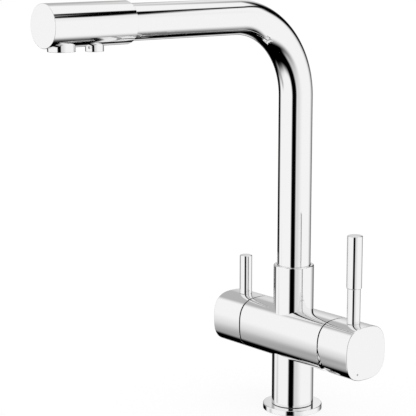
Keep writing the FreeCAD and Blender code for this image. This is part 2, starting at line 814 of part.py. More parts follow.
def aerator_seal():
    """Rubber ring above the mixed water outlet."""
    return nozzle_seal(aerator_y, aerator_bore_d, aerator_way_d)


def filter_nozzle_seal():
    """Rubber ring above the filtered water outlet."""
    return nozzle_seal(filter_nozzle_y, filter_nozzle_bore_d, filter_nozzle_way_d)


# --- Mixer cartridge ---

def mixer_port_places():
    """Across and up places of the mixer's two inlets and its outlet."""
    return [(-mix_port_y, mix_inlet_up), (mix_port_y, mix_inlet_up), (0, mix_outlet_up)]


def cartridge_base():
    """Plastic floor of the mixer cartridge, with two locating pegs."""
    base = rod(cartridge_d, on_barrel(base_x), on_barrel(fixed_disc_x))
    for side in (-1, 1):
        y = side * base_peg_y
        peg_end = on_barrel(cartridge_floor_x - base_peg_h, y)
        base = base.fuse(rod(base_peg_d, peg_end, on_barrel(base_x, y)))
    ways = []
    for y, up in mixer_port_places():
        ways.append(rod(mix_outlet_d, on_barrel(base_x, y, up), on_barrel(fixed_disc_x, y, up)))
    return base.cut(ways)


def cartridge_port_seals():
    """Three rubber rings between the cartridge and the floor of its bore."""
    rings = []
    for y, up in mixer_port_places():
        low = on_barrel(cartridge_floor_x, y, up)
        high = on_barrel(base_x, y, up)
        rings.append(pipe(port_seal_d, port_seal_bore_d, low, high))
    return Part.makeCompound(rings)


def mixer_fixed_disc():
    """Ceramic disc with hot and cold windows and an outlet below them."""
    disc = rod(fixed_disc_d, on_barrel(fixed_disc_x), on_barrel(fixed_disc_x + disc_t))
    outlet_low = on_barrel(fixed_disc_x, 0, mix_outlet_up)
    outlet_high = on_barrel(fixed_disc_x + disc_t, 0, mix_outlet_up)
    windows = [rod(outlet_window_d, outlet_low, outlet_high)]
    low = mix_window_low_angle
    high = mix_window_high_angle
    spans = [(low, high), (180 - high, 180 - low)]
    for angle_from, angle_to in spans:
        windows.append(sector(fixed_disc_x, disc_t, mix_window_inner_r, mix_window_outer_r,
                              angle_from, angle_to))
    return disc.cut(windows)


def mixer_moving_disc():
    """Ceramic disc whose blind recess joins the windows to the outlet."""
    disc = rod(moving_disc_d, on_barrel(moving_disc_x, 0, -closed_drop),
               on_barrel(moving_disc_x + disc_t, 0, -closed_drop))
    centre_up = -closed_drop - recess_drop
    recess_start = on_barrel(moving_disc_x, 0, centre_up)
    return disc.cut(rod(recess_d, recess_start, recess_start + RIGHT * recess_depth))


def disc_carrier():
    """Plastic carrier behind the moving disc, with a socket for the stem's ball."""
    carrier = rod(moving_disc_d, on_barrel(carrier_x, 0, -closed_drop),
                  on_barrel(carrier_top_x, 0, -closed_drop))
    half_w = carrier_tongue_w / 2
    half_l = carrier_tongue_l / 2
    tongue_up = barrel_axis_z - closed_drop
    tongue_top_x = carrier_top_x + carrier_tongue_h
    tongue = box((carrier_x, tongue_top_x), (-half_w, half_w),
                 (tongue_up - half_l, tongue_up + half_l))
    socket_d = ball_d + 2 * ball_clearance
    socket = rod(socket_d, on_barrel(carrier_x + ball_floor), on_barrel(tongue_top_x))
    return carrier.fuse(tongue).cut(socket)


def mixer_turret():
    """Turning part of the cartridge, which guides the carrier and holds the pin."""
    flange_end_x = turret_x + turret_flange_t
    turret = rod(turret_flange_d, on_barrel(turret_x), on_barrel(flange_end_x))
    turret = turret.fuse(rod(turret_neck_d, on_barrel(turret_x), on_barrel(turret_end_x)))
    half_w = turret_slot_w / 2
    half_h = turret_slot_h / 2
    slot = box((turret_x, turret_end_x), (-half_w, half_w),
               (barrel_axis_z - half_h, barrel_axis_z + half_h))
    guide_half = carrier_tongue_w / 2 + slide_gap
    guide_top_x = carrier_top_x + carrier_tongue_h + slide_gap
    guide = box((turret_x, guide_top_x), (-guide_half, guide_half),
                (barrel_axis_z - turret_flange_d, barrel_axis_z + turret_flange_d))
    pin_half = turret_pin_l / 2 + turn_gap
    pin_hole = rod(turret_pin_d, on_barrel(pivot_x, -pin_half), on_barrel(pivot_x, pin_half))
    groove_centre_x = (cup_end_x + cartridge_shoulder_x) / 2
    groove_half = turret_o_ring_d / 2 + fit_gap
    groove_d = turret_neck_d - 2 * turret_o_ring_d
    groove = pipe(turret_neck_d, groove_d, on_barrel(groove_centre_x - groove_half),
                  on_barrel(groove_centre_x + groove_half))
    return turret.cut([slot, guide, pin_hole, groove])


def turret_o_ring():
    """Rubber ring in the turret's neck."""
    centre_x = (cup_end_x + cartridge_shoulder_x) / 2
    inner_d = turret_neck_d - 2 * turret_o_ring_d + 2 * fit_gap
    section_d = turret_o_ring_d - 2 * fit_gap
    return o_ring(on_barrel(centre_x), BACK, RIGHT, inner_d, section_d)


def turret_pin():
    """Steel pin that the mixer's stem tilts on."""
    half = turret_pin_l / 2
    return rod(turret_pin_d - fit_gap, on_barrel(pivot_x, -half), on_barrel(pivot_x, half))


def mixer_stem():
    """Brass stem with a ball that pushes the disc carrier."""
    blade_half_w = stem_blade_w / 2
    blade_half_h = stem_blade_h / 2
    shank_half = stem_shank_w / 2
    blade = box((stem_blade_x, stem_shank_x), (-blade_half_w, blade_half_w),
                (barrel_axis_z - blade_half_h, barrel_axis_z + blade_half_h))
    shank = box((stem_shank_x, stem_end_x), (-shank_half, shank_half),
                (barrel_axis_z - shank_half, barrel_axis_z + shank_half))
    neck = rod(ball_neck_d, on_barrel(ball_x), on_barrel(stem_blade_x))
    ball = Part.makeSphere(ball_d / 2, on_barrel(ball_x))
    hole_d = turret_pin_d + 2 * run_gap
    hole = rod(hole_d, on_barrel(pivot_x, -stem_blade_w), on_barrel(pivot_x, stem_blade_w))
    return shank.fuse([blade, neck, ball]).cut(hole)


def cartridge_housing():
    """Plastic cup of the mixer cartridge."""
    cup = rod(cartridge_d, on_barrel(fixed_disc_x), on_barrel(cartridge_shoulder_x))
    neck_hole_d = turret_neck_d + 2 * run_gap
    cuts = [
        rod(cup_bore_d, on_barrel(fixed_disc_x), on_barrel(cup_end_x)),
        rod(neck_hole_d, on_barrel(cup_end_x), on_barrel(cartridge_shoulder_x)),
    ]
    return cup.cut(cuts)


def cartridge_nut():
    """Brass ring nut that clamps the cartridge, with four spanner slots."""
    nut = pipe(nut_d, nut_bore_d, on_barrel(cartridge_shoulder_x), on_barrel(nut_end_x))
    half = nut_slot_w / 2
    slot = box((nut_end_x - nut_slot_depth, nut_end_x), (0, nut_d / 2),
               (barrel_axis_z - half, barrel_axis_z + half))
    slots = []
    for index in range(nut_slot_count):
        one = slot.copy()
        one.rotate(on_barrel(0), RIGHT, 360 * index / nut_slot_count)
        slots.append(one)
    return nut.cut(slots)


def dome_cover():
    """Chromed dome behind the mixer knob, concentric with the stem pin."""
    inner_r = dome_r - dome_wall
    skirt_inner_r = dome_skirt_r - dome_wall
    foot_along = nut_end_x + fit_gap - pivot_x
    inner_foot_along = math.sqrt(inner_r ** 2 - skirt_inner_r ** 2)

    def place(radius, along):
        return on_barrel(pivot_x + along, 0, radius)

    def on_sphere(sphere_r, along):
        return place(math.sqrt(sphere_r ** 2 - along ** 2), along)

    halfway = (pivot_recess + dome_front) / 2
    rim = [place(skirt_inner_r, inner_foot_along), place(skirt_inner_r, foot_along),
           place(dome_skirt_r, foot_along), place(dome_skirt_r, pivot_recess)]
    outer = Part.Arc(rim[-1], on_sphere(dome_r, halfway), on_sphere(dome_r, dome_front))
    inner = Part.Arc(on_sphere(inner_r, dome_front), on_sphere(inner_r, halfway), rim[0])
    front = Part.makeLine(on_sphere(dome_r, dome_front), on_sphere(inner_r, dome_front))
    edges = Part.makePolygon(rim).Edges + [outer.toShape(), front, inner.toShape()]
    section = Part.Face(Part.Wire(Part.__sortEdges__(edges)))
    return section.revolve(on_barrel(0), RIGHT, 360)


# --- Mixer knob and lever ---

def knob_shell(open_x, end_x, wall, end_wall):
    """Hollow knob of the barrel's section, open towards the barrel."""
    side = math.copysign(1, end_x)
    shell = barrel_prism(min(open_x, end_x), max(open_x, end_x))
    rim = [edge for edge in shell.Edges if abs(edge.BoundBox.XMin - end_x) < same_size
           and abs(edge.BoundBox.XMax - end_x) < same_size]
    shell = shell.makeFillet(knob_edge_r, rim)
    cavity_end = on_barrel(end_x - side * end_wall)
    return shell.cut(rod(barrel_across - 2 * wall, on_barrel(open_x), cavity_end))


def knob_fittings(boss_x, end_x, boss_d, rod_x, screw_x):
    """Boss for the valve's stem, lug for the lever and lug for the grub screw."""
    boss = rod(boss_d, on_barrel(boss_x), on_barrel(end_x))
    lever_lug = rod(lever_lug_d, on_barrel(rod_x), V(rod_x, 0, barrel_top_z))
    screw_lug = rod(knob_screw_lug_d, V(screw_x, 0, barrel_bottom_z), on_barrel(screw_x))
    return boss.fuse([lever_lug, screw_lug])


def lever_stub_hole(rod_x):
    """Blind hole in a knob's top for the lever's threaded end."""
    top = V(rod_x, 0, barrel_top_z)
    return rod(lever_stub_d + 2 * fit_gap, top - UP * (lever_stub_l + fit_gap), top)


def knob_screw_hole(screw_x, stem_half):
    """Hole in a knob's underside for the screw that grips the stem."""
    low = V(screw_x, 0, barrel_bottom_z)
    return rod(knob_screw_d, low, on_barrel(screw_x, 0, -stem_half))


def mixer_knob():
    """Hollow knob whose slanted lower rim leaves room for the lever's tilt."""
    knob = knob_shell(mixer_knob_x, mixer_knob_end_x, knob_wall, knob_end_wall)
    outline = barrel_prism(knob_boss_x, mixer_knob_end_x - knob_end_wall)
    fittings = knob_fittings(knob_boss_x, mixer_knob_end_x - knob_end_wall,
                             knob_boss_d, lever_x, knob_screw_x)
    knob = knob.fuse(fittings.common(outline))
    rise = math.tan(math.radians(knob_tilt_angle)) * barrel_half
    low_z = barrel_bottom_z
    corners = [V(mixer_knob_x, -barrel_half, barrel_axis_z),
               V(mixer_knob_x + rise, -barrel_half, low_z),
               V(mixer_knob_x, -barrel_half, low_z)]
    wedge = Part.Face(Part.makePolygon(corners + corners[:1])).extrude(BACK * barrel_across)
    shank_half = stem_shank_w / 2 + fit_gap
    shank_end_x = stem_end_x + turn_gap
    shank_hole = box((knob_boss_x, shank_end_x), (-shank_half, shank_half),
                     (barrel_axis_z - shank_half, barrel_axis_z + shank_half))
    face = on_barrel(mixer_knob_end_x, mark_y, -mark_drop)
    mark_hole = rod(mark_d + 2 * fit_gap, face - RIGHT * mark_depth, face)
    cuts = [wedge, shank_hole, lever_stub_hole(lever_x),
            knob_screw_hole(knob_screw_x, stem_shank_w / 2), mark_hole]
    return knob.cut(cuts)


def knob_mark():
    """Small dark dot set in the end of the mixer knob."""
    face = on_barrel(mixer_knob_end_x - fit_gap, mark_y, -mark_drop)
    return rod(mark_d, face - RIGHT * (mark_depth - 2 * fit_gap), face)


def knob_screw(screw_x, stem_half):
    """Grub screw from below, its end against the stem."""
    tip = on_barrel(screw_x, 0, -stem_half - fit_gap)
    head = tip - UP * knob_screw_l
    screw = rod(knob_screw_d - 2 * fit_gap, head, tip)
    return screw.cut(rod(knob_screw_socket_d, head, head + UP * knob_screw_socket_depth))


def mixer_knob_screw():
    """Grub screw of the mixer knob."""
    return knob_screw(knob_screw_x, stem_shank_w / 2)


def mixer_lever_rod():
    """Thin lower part of the mixer lever, with a stub for the knob."""
    seat = V(lever_x, 0, barrel_top_z)
    shoulder = V(lever_x, 0, grip_bottom_z)
    lever = rod(lever_rod_d, seat, shoulder)
    stub = rod(lever_stub_d, seat - UP * lever_stub_l, seat)
    tenon = rod(grip_tenon_d, shoulder, shoulder + UP * grip_tenon_l)
    return lever.fuse([stub, tenon])


def lever_grip():
    """Thicker sleeve on the upper part of the mixer lever."""
    low = V(lever_x, 0, grip_bottom_z)
    grip = rod(grip_d, low, V(lever_x, 0, grip_top_z))
    ends = circle_edges(grip, grip_d / 2, grip_bottom_z)
    ends += circle_edges(grip, grip_d / 2, grip_top_z)
    grip = grip.makeFillet(grip_edge_r, ends)
    bore_l = grip_tenon_l + turn_gap
    return grip.cut(rod(grip_tenon_d + 2 * fit_gap, low, low + UP * bore_l))


# --- Filtered water valve ---

def hexagon_bar(across, x_from, x_to):
    """Hexagon bar on the barrel's axis."""
    corner_r = across / math.sqrt(3)
    corners = []
    for index in range(6):
        angle = math.radians(60 * index)
        corners.append(on_barrel(x_from, corner_r * math.cos(angle), corner_r * math.sin(angle)))
    face = Part.Face(Part.makePolygon(corners + corners[:1]))
    return face.extrude(RIGHT * (x_to - x_from))


def filter_headwork():
    """Brass body of the quarter turn valve: cage, thread, hexagon and nose."""
    hex_end_x = barrel_left + hex_t
    body = rod(headwork_thread_d - 2 * fit_gap, on_barrel(-barrel_left),
               on_barrel(-headwork_cage_x))
    body = body.fuse(rod(headwork_cage_d, on_barrel(-barrel_left), on_barrel(-headwork_inner_x)))
    body = body.fuse(hexagon_bar(hex_across, -hex_end_x, -barrel_left))
    body = body.fuse(rod(headwork_nose_d, on_barrel(-headwork_nose_x), on_barrel(-barrel_left)))
    plate_end_x = drive_plate_x + turn_gap
    window_from_x = filter_moving_x + headwork_window_gap
    half = headwork_window_w / 2
    window = box((-headwork_cage_x, -window_from_x), (-headwork_cage_d, headwork_cage_d),
                 (barrel_axis_z - half, barrel_axis_z + half))
    cuts = [
        rod(headwork_cage_bore_d, on_barrel(-plate_end_x), on_barrel(-headwork_inner_x)),
        rod(spindle_d + 2 * run_gap, on_barrel(-headwork_nose_x), on_barrel(-headwork_inner_x)),
        window,
    ]
    return body.cut(cuts)


def filter_seat_seal():
    """Rubber seat between the fixed disc and the floor of the bore."""
    return pipe(headwork_nose_d, seat_seal_bore_d, on_barrel(-headwork_inner_x),
                on_barrel(-filter_floor_x))


def filter_windows(x, thickness, turn):
    """Two opposite sectors cut through a filtered water disc."""
    cuts = []
    for middle in (turn, turn + 180):
        cuts.append(sector(x, thickness, filter_sector_inner_r, filter_sector_outer_r,
                           middle - filter_sector_half_angle, middle + filter_sector_half_angle))
    return cuts


def filter_fixed_disc():
    """Ceramic disc with two windows, above and below the axis."""
    low = on_barrel(-filter_fixed_x)
    disc = rod(filter_disc_d, low, on_barrel(-headwork_inner_x))
    return disc.cut(filter_windows(-filter_fixed_x, filter_disc_t, 90))


def drive_tabs(across):
    """Two blocks on the rim that lock the moving disc to the spindle's plate."""
    half = across / 2
    outer_r = filter_moving_d / 2
    tabs = []
    for side in (-1, 1):
        inner = side * (outer_r - drive_tab_depth)
        outer = side * outer_r
        tabs.append(box((-filter_moving_x, -filter_moving_x + filter_disc_t / 2),
                        (min(inner, outer), max(inner, outer)),
                        (barrel_axis_z - half, barrel_axis_z + half)))
    return tabs


def filter_moving_disc():
    """Ceramic disc with two windows, a quarter turn away at rest."""
    low = on_barrel(-filter_moving_x)
    disc = rod(filter_moving_d, low, low + RIGHT * filter_disc_t)
    cuts = filter_windows(-filter_moving_x, filter_disc_t, 0)
    return disc.cut(cuts + drive_tabs(drive_tab_w + 2 * fit_gap))


def filter_spindle():
    """Brass spindle with a drive plate, two tabs and the grooves for its rings."""
    plate_r = filter_moving_d / 2
    shaft_r = spindle_d / 2
    groove_r = shaft_r - spindle_o_ring_d
    groove_half = spindle_o_ring_groove_w / 2
    clip_out_x = clip_x + clip_t
    points = [
        (0, -filter_moving_x), (plate_r, -filter_moving_x), (plate_r, -drive_plate_x),
        (shaft_r, -drive_plate_x),
        (shaft_r, -spindle_o_ring_x + groove_half), (groove_r, -spindle_o_ring_x + groove_half),
        (groove_r, -spindle_o_ring_x - groove_half), (shaft_r, -spindle_o_ring_x - groove_half),
        (shaft_r, -clip_x), (clip_groove_d / 2, -clip_x), (clip_groove_d / 2, -clip_out_x),
        (shaft_r, -clip_out_x), (shaft_r, -spindle_step_x),
        (spindle_end_d / 2, -spindle_step_x), (spindle_end_d / 2, -spindle_end_x),
        (0, -spindle_end_x),
    ]
    rim = rod(filter_moving_d, on_barrel(-filter_moving_x), on_barrel(-headwork_inner_x))
    tabs = [tab.common(rim) for tab in drive_tabs(drive_tab_w)]
    return turned_on_barrel(points).fuse(tabs)


def spindle_o_ring():
    """Rubber ring in the spindle."""
    inner_d = spindle_d - 2 * spindle_o_ring_d + 2 * fit_gap
    section_d = spindle_o_ring_d - fit_gap
    return o_ring(on_barrel(-spindle_o_ring_x), BACK, RIGHT, inner_d, section_d)


def spindle_clip():
    """Steel clip that keeps the spindle in the headwork."""
    inner_d = clip_groove_d + 2 * fit_gap
    outer_face = on_barrel(-clip_x - clip_t + fit_gap)
    clip = pipe(clip_d, inner_d, outer_face, on_barrel(-clip_x - fit_gap))
    half = clip_mouth_w / 2
    mouth = box((-clip_x - clip_t, -clip_x), (-half, half),
                (barrel_axis_z - clip_d / 2, barrel_axis_z))
    return clip.cut(mouth)


def slip_ring():
    """Dark plastic ring in the seam between the barrel and the filter knob."""
    low = on_barrel(-barrel_left - slip_ring_t)
    return pipe(slip_ring_outer_d, slip_ring_inner_d, low, on_barrel(-barrel_left))


def filter_knob():
    """Hollow knob on the spindle, with a lug for the lever."""
    knob = knob_shell(-filter_knob_x, -filter_knob_end_x, filter_knob_wall, filter_knob_end_wall)
    cavity_end_x = filter_knob_end_wall - filter_knob_end_x
    fittings = knob_fittings(-filter_boss_x, cavity_end_x, filter_boss_d,
                             -filter_lever_x, -filter_screw_x)
    clip_room_end = on_barrel(-spindle_step_x - turn_gap)
    fittings = fittings.cut(rod(clip_d + 2 * turn_gap, on_barrel(-filter_knob_x), clip_room_end))
    knob = knob.fuse(fittings.common(barrel_prism(-filter_knob_end_x, -filter_knob_x)))
    hole_end_x = -spindle_end_x - turn_gap
    spindle_hole = rod(spindle_end_d + 2 * fit_gap, on_barrel(hole_end_x),
                       on_barrel(-spindle_step_x))
    cuts = [spindle_hole, lever_stub_hole(-filter_lever_x),
            knob_screw_hole(-filter_screw_x, spindle_end_d / 2)]
    return knob.cut(cuts)


def filter_knob_screw():
    """Grub screw of the filter knob."""
    return knob_screw(-filter_screw_x, spindle_end_d / 2)


def filter_lever():
    """Short plain lever of the filter knob."""
    seat = V(-filter_lever_x, 0, barrel_top_z)
    lever = rod(filter_lever_d, seat, V(-filter_lever_x, 0, filter_lever_top_z))
    top = circle_edges(lever, filter_lever_d / 2, filter_lever_top_z)
    lever = lever.makeFillet(grip_edge_r, top)
    return lever.fuse(rod(lever_stub_d, seat - UP * lever_stub_l, seat))


PIECES = [
    base_flange, base_gasket, column_ring, base_column, stud_boss, inlet_block,
    valve_body, spout_collar, collar_bush, spout_slide_washer, spout_retaining_screw,
    filter_tube_seal, spout_foot, spout_o_rings, spout_tube, filter_tube, spout_head,
    head_manifold, aerator_ring, aerator_insert, aerator_seal, filter_nozzle,
    filter_nozzle_insert, filter_nozzle_seal, cartridge_base, cartridge_port_seals,
    mixer_fixed_disc, mixer_moving_disc, disc_carrier, mixer_turret, turret_o_ring,
    turret_pin, mixer_stem, cartridge_housing, cartridge_nut, dome_cover, mixer_knob,
    knob_mark, mixer_knob_screw, mixer_lever_rod, lever_grip, filter_headwork,
    filter_seat_seal, filter_fixed_disc, filter_moving_disc, filter_spindle,
    spindle_o_ring, spindle_clip, slip_ring, filter_knob, filter_knob_screw, filter_lever,
]

os.makedirs("parts", exist_ok=True)
for piece in PIECES:
    shape = piece()
    solids = len(shape.Solids)
    print(piece.__name__, "solids", solids, "valid", shape.isValid(), round(shape.Volume, 1))
    shape.exportStep("parts/" + piece.__name__ + ".step")
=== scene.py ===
# %% [markdown]
# # Three way filtered water tap
# A kitchen mixer tap in polished chrome: a round foot, a short column, a barrel that lies
# across it with a turning knob at each end, and a tall swivel spout with two outlets. The
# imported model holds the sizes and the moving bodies. This notebook gives the pieces
# that show their smooth skins and their finishes, and sets up the studio around them.

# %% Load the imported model
from math import atan2, cos, degrees, pi, radians, sqrt, tan, tau

import bmesh
import bpy
from mathutils import Matrix, Vector


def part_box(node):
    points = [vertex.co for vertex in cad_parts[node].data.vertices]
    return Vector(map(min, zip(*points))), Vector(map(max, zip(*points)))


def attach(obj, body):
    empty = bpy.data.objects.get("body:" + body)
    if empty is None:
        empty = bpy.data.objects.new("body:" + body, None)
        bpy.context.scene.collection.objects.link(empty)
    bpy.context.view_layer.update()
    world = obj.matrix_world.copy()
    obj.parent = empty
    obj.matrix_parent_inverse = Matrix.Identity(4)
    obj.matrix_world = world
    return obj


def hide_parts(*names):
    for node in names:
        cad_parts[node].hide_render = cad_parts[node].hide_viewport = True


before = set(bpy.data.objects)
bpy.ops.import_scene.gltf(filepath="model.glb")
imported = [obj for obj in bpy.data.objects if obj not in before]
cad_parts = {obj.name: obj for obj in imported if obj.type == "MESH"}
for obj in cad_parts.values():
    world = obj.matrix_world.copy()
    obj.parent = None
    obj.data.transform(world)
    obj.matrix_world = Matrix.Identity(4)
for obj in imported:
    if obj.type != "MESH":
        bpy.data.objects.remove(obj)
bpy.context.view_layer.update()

MM = 0.001
print("nodes:", len(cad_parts))


# %% [markdown]
# Every size of the tap below is in millimetres, as on a workshop drawing. Places come from
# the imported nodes: this helper reads a node's box, so a skin always lands on its own piece.

# %% Read a node's box in millimetres
def span(node):
    low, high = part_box(node)
    return Vector(low) / MM, Vector(high) / MM


barrel_low, barrel_high = span("valve_body")
across = barrel_high.y - barrel_low.y
axis_z = barrel_low.z + across / 2
print("barrel axis at z =", round(axis_z, 2))


# %% [markdown]
# ## The camera
# The photograph was taken from the front right, a little above the tap, with a long lens.
# A long lens keeps upright lines nearly parallel. The lens, the place (in metres) and the
# angles were fitted by a program to the tap's edges in the photograph, to about 0.4 pixel,
# so the two pictures can be laid over each other.

# %% Place the camera
camera_tip = 79.285
camera_turn = 50.157
camera_data = bpy.data.cameras.new("studio camera")
camera_data.lens = 126.17
camera_data.sensor_width = 36.0
camera_data.clip_start = 0.05
camera_data.clip_end = 50.0
camera = bpy.data.objects.new("studio camera", camera_data)
camera.location = (0.8709, -0.8206, 0.3992)
camera.rotation_euler = (radians(camera_tip), 0.0, radians(camera_turn))
bpy.context.scene.collection.objects.link(camera)
bpy.context.scene.camera = camera
print("field of view:", round(degrees(camera_data.angle), 2), "degrees")


# %% [markdown]
# ## Finishes
# A finish in Blender is a small network of nodes. One helper adds a node with its settings
# and its links, and one function turns the colour code a maker would give (sRGB) into the
# linear light that the renderer counts in.

# %% Colours and nodes
def colour(code):
    parts = [int(code[i:i + 2], 16) / 255 for i in (1, 3, 5)]
    linear = [p / 12.92 if p <= 0.04045 else ((p + 0.055) / 1.055) ** 2.4 for p in parts]
    return (*linear, 1.0)


def add(tree, kind, settings=None, **inputs):
    node = tree.nodes.new(kind)
    for key, value in (settings or {}).items():
        setattr(node, key, value)
    for key, value in inputs.items():
        socket = node.inputs[int(key[1:]) if key[1:].isdigit() else key.replace("_", " ")]
        if isinstance(value, bpy.types.NodeSocket):
            tree.links.new(value, socket)
        else:
            socket.default_value = value
    return node


def new_finish(name):
    finish = bpy.data.materials.new(name)
    finish.use_nodes = True
    tree = finish.node_tree
    tree.nodes.clear()
    output = add(tree, "ShaderNodeOutputMaterial")
    place = add(tree, "ShaderNodeTexCoord").outputs["Object"]
    return finish, tree, output, place


# %% [markdown]
# Bright chromium plate is a metal mirror: a very smooth, neutral grey-white. Real
# plate is never perfect, so the roughness drifts a little over about 30 mm, where a cloth
# has wiped it, and the surface under it waves by a hair, as polished castings do. The IOR
# stays at its default, because a metal's reflection comes from its base colour.

# %% Bright chromium plate
def chrome_finish(name, code, roughness):
    finish, tree, output, place = new_finish(name)
    wipe = add(tree, "ShaderNodeTexNoise", {"noise_dimensions": "3D"},
               Vector=place, Scale=1 / (30 * MM), Detail=2.0)
    soft = add(tree, "ShaderNodeMapRange", None, Value=wipe.outputs["Fac"],
               To_Min=roughness * 0.6, To_Max=roughness * 1.4)
    wave = add(tree, "ShaderNodeTexNoise", {"noise_dimensions": "3D"},
               Vector=place, Scale=1 / (14 * MM), Detail=0.0)
    bump = add(tree, "ShaderNodeBump", None, Strength=0.02, Distance=0.02 * MM,
               Height=wave.outputs["Fac"])
    shader = add(tree, "ShaderNodeBsdfPrincipled", None, Base_Color=colour(code),
                 Metallic=1.0, Roughness=soft.outputs["Result"],
                 Normal=bump.outputs["Normal"])
    tree.links.new(shader.outputs["BSDF"], output.inputs["Surface"])
    return finish


chrome = chrome_finish("bright chromium plate", "#F3F3F3", 0.03)
print("finish:", chrome.name)


# %% [markdown]
# Inside and under the tap are moulded and machined parts. Moulded plastic, rubber and
# ceramic share one recipe: a colour that drifts between two close tones, and a fine grain
# in relief. Spark-eroded moulds leave grains of about 0.3 mm on plastic, moulded rubber is
# finer and duller, and lapped ceramic is the smoothest.

# %% Moulded and pressed finishes
def moulded_finish(name, light, dark, roughness, grain, relief, ior=1.5):
    finish, tree, output, place = new_finish(name)
    drift = add(tree, "ShaderNodeTexNoise", None, Vector=place, Scale=1 / (12 * MM), Detail=3.0)
    tone = add(tree, "ShaderNodeMix", {"data_type": "RGBA"}, _0=drift.outputs["Fac"],
               _6=colour(dark), _7=colour(light))
    speck = add(tree, "ShaderNodeTexNoise", None, Vector=place, Scale=1 / (grain * MM),
                Detail=2.0)
    bump = add(tree, "ShaderNodeBump", None, Strength=0.4, Distance=relief * MM,
               Height=speck.outputs["Fac"])
    soft = add(tree, "ShaderNodeMapRange", None, Value=speck.outputs["Fac"],
               To_Min=roughness * 0.8, To_Max=roughness * 1.2)
    shader = add(tree, "ShaderNodeBsdfPrincipled", None, Base_Color=tone.outputs[2],
                 Roughness=soft.outputs["Result"], IOR=ior, Normal=bump.outputs["Normal"])
    tree.links.new(shader.outputs["BSDF"], output.inputs["Surface"])
    return finish


black_acetal = moulded_finish("moulded black acetal", "#26272A", "#1B1C1E", 0.38, 0.3, 0.03)
grey_acetal = moulded_finish("moulded grey acetal", "#A9ABAD", "#9A9C9E", 0.38, 0.3, 0.03)
white_acetal = moulded_finish("moulded white acetal", "#ECEBE6", "#DEDDD6", 0.35, 0.3, 0.02)
black_rubber = moulded_finish("moulded EPDM rubber", "#202021", "#161617", 0.62, 0.2, 0.03)
alumina = moulded_finish("lapped alumina ceramic", "#F1EEE6", "#E6E2D8", 0.16, 0.1, 0.002, 1.76)
print("finishes:", ", ".join(finish.name for finish in (
    black_acetal, grey_acetal, white_acetal, black_rubber, alumina)))


# %% [markdown]
# Brass and stainless parts come off a lathe, and the tool leaves fine grooves round the
# piece's axis. A wave along the distance from the axis plus the distance along it draws
# them on end faces and on sides alike. Real grooves are about 0.1 mm apart; here they are
# 0.35 mm apart, so that they show.

# %% Turned metal finishes
groove_pitch = 0.35


def lathe_finish(name, light, dark, roughness, axis, through=(0, 0, 0)):
    finish, tree, output, place = new_finish(name)
    centred = add(tree, "ShaderNodeVectorMath", {"operation": "SUBTRACT"}, _0=place,
                  _1=Vector(through) * MM)
    along = Vector([letter == axis for letter in "XYZ"])
    flat = add(tree, "ShaderNodeVectorMath", {"operation": "MULTIPLY"},
               _0=centred.outputs[0], _1=Vector((1, 1, 1)) - along)
    out = add(tree, "ShaderNodeVectorMath", {"operation": "LENGTH"}, _0=flat.outputs[0])
    down = add(tree, "ShaderNodeVectorMath", {"operation": "DOT_PRODUCT"},
               _0=centred.outputs[0], _1=along)
    reach = add(tree, "ShaderNodeMath", {"operation": "ADD"}, _0=out.outputs["Value"],
                _1=down.outputs["Value"])
    turns = add(tree, "ShaderNodeMath", {"operation": "MULTIPLY"}, _0=reach.outputs[0],
                _1=tau / (groove_pitch * MM))
    groove = add(tree, "ShaderNodeMath", {"operation": "SINE"}, _0=turns.outputs[0])
    bump = add(tree, "ShaderNodeBump", None, Strength=0.25, Distance=0.01 * MM,
               Height=groove.outputs[0])
    drift = add(tree, "ShaderNodeTexNoise", None, Vector=place, Scale=1 / (8 * MM), Detail=4.0)
    tone = add(tree, "ShaderNodeMix", {"data_type": "RGBA"}, _0=drift.outputs["Fac"],
               _6=colour(dark), _7=colour(light))
    soft = add(tree, "ShaderNodeMapRange", None, Value=drift.outputs["Fac"],
               To_Min=roughness * 0.7, To_Max=roughness * 1.3)
    shader = add(tree, "ShaderNodeBsdfPrincipled", None, Base_Color=tone.outputs[2],
                 Metallic=1.0, Roughness=soft.outputs["Result"],
                 Normal=bump.outputs["Normal"])
    tree.links.new(shader.outputs["BSDF"], output.inputs["Surface"])
    return finish


barrel_line = (0, 0, axis_z)
upright_brass = lathe_finish("turned brass, upright", "#DDC07F", "#C2A161", 0.24, "Z")
barrel_brass = lathe_finish("turned brass, along the barrel", "#DDC07F", "#C2A161", 0.24,
                            "X", barrel_line)
stainless = lathe_finish("turned stainless steel", "#D0CFCB", "#B9B8B4", 0.22, "X",
                         barrel_line)
print("finishes:", upright_brass.name, barrel_brass.name, stainless.name)


# %% [markdown]
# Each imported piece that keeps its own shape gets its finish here. They are the seam rings
# and the knob's mark, which show from outside, and the pieces inside and underneath.

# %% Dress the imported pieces
dressing = {
    black_acetal: ["column_ring", "slip_ring"],
    grey_acetal: ["knob_mark"],
    white_acetal: ["collar_bush", "spout_slide_washer", "cartridge_base", "disc_carrier",
                   "mixer_turret", "cartridge_housing", "head_manifold", "aerator_insert",
                   "filter_nozzle_insert", "filter_tube"],
    upright_brass: ["inlet_block", "stud_boss", "spout_foot"],
    barrel_brass: ["cartridge_nut", "filter_headwork", "filter_spindle", "mixer_stem"],
    stainless: ["spout_retaining_screw", "turret_pin", "mixer_knob_screw",
                "filter_knob_screw", "spindle_clip"],
    alumina: ["mixer_fixed_disc", "mixer_moving_disc", "filter_fixed_disc",
              "filter_moving_disc"],
    black_rubber: ["base_gasket", "spout_o_rings", "filter_tube_seal", "aerator_seal",
                   "filter_nozzle_seal", "cartridge_port_seals", "turret_o_ring",
                   "filter_seat_seal", "spindle_o_ring"],
}
for finish, names in dressing.items():
    for name in names:
        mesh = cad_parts[name].data
        mesh.materials.clear()
        mesh.materials.append(finish)
print("dressed:", sum(len(names) for names in dressing.values()), "packed pieces")


